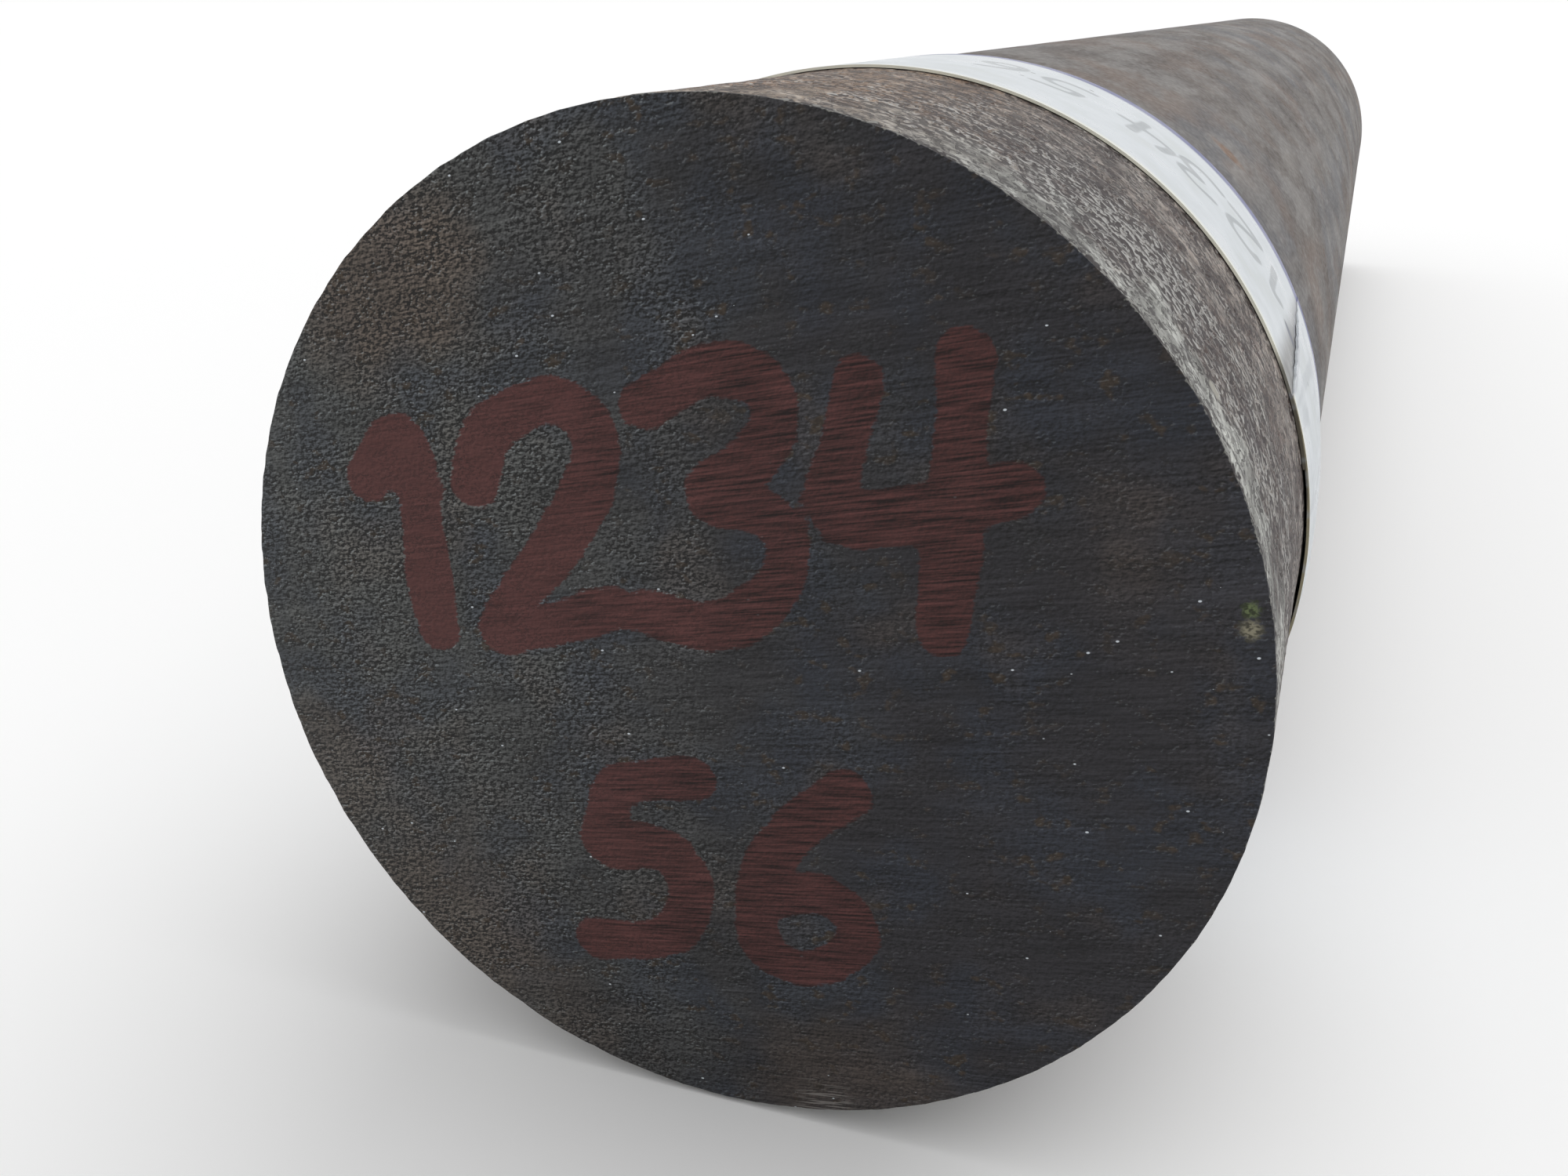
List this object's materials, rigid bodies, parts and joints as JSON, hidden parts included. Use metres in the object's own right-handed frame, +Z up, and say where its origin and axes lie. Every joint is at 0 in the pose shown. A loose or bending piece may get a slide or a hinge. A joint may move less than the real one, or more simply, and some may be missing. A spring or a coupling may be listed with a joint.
{
  "type": "round metal bar",
  "caption": "Solid round steel bar sawn square at both ends, with hot-rolled scale, a hand-painted end and a wrap of label tape.",
  "frame": {"origin": "centre of the marked sawn end", "axes": "+Y along the bar, from the marked end to the far end; +Z up, with the bar lying on its side"},
  "size_m": [0.0517, 0.3048, 0.0512],
  "materials": {
    "steel": "hot-rolled mill scale on the round, dark saw-cut oxide on the ends, rough and barely shiny",
    "tape": "white label tape, satin to glossy, with a cream cut edge"
  },
  "bodies": {
    "root": {"bar": "steel", "label_tape": "tape"}
  },
  "joints": []
}
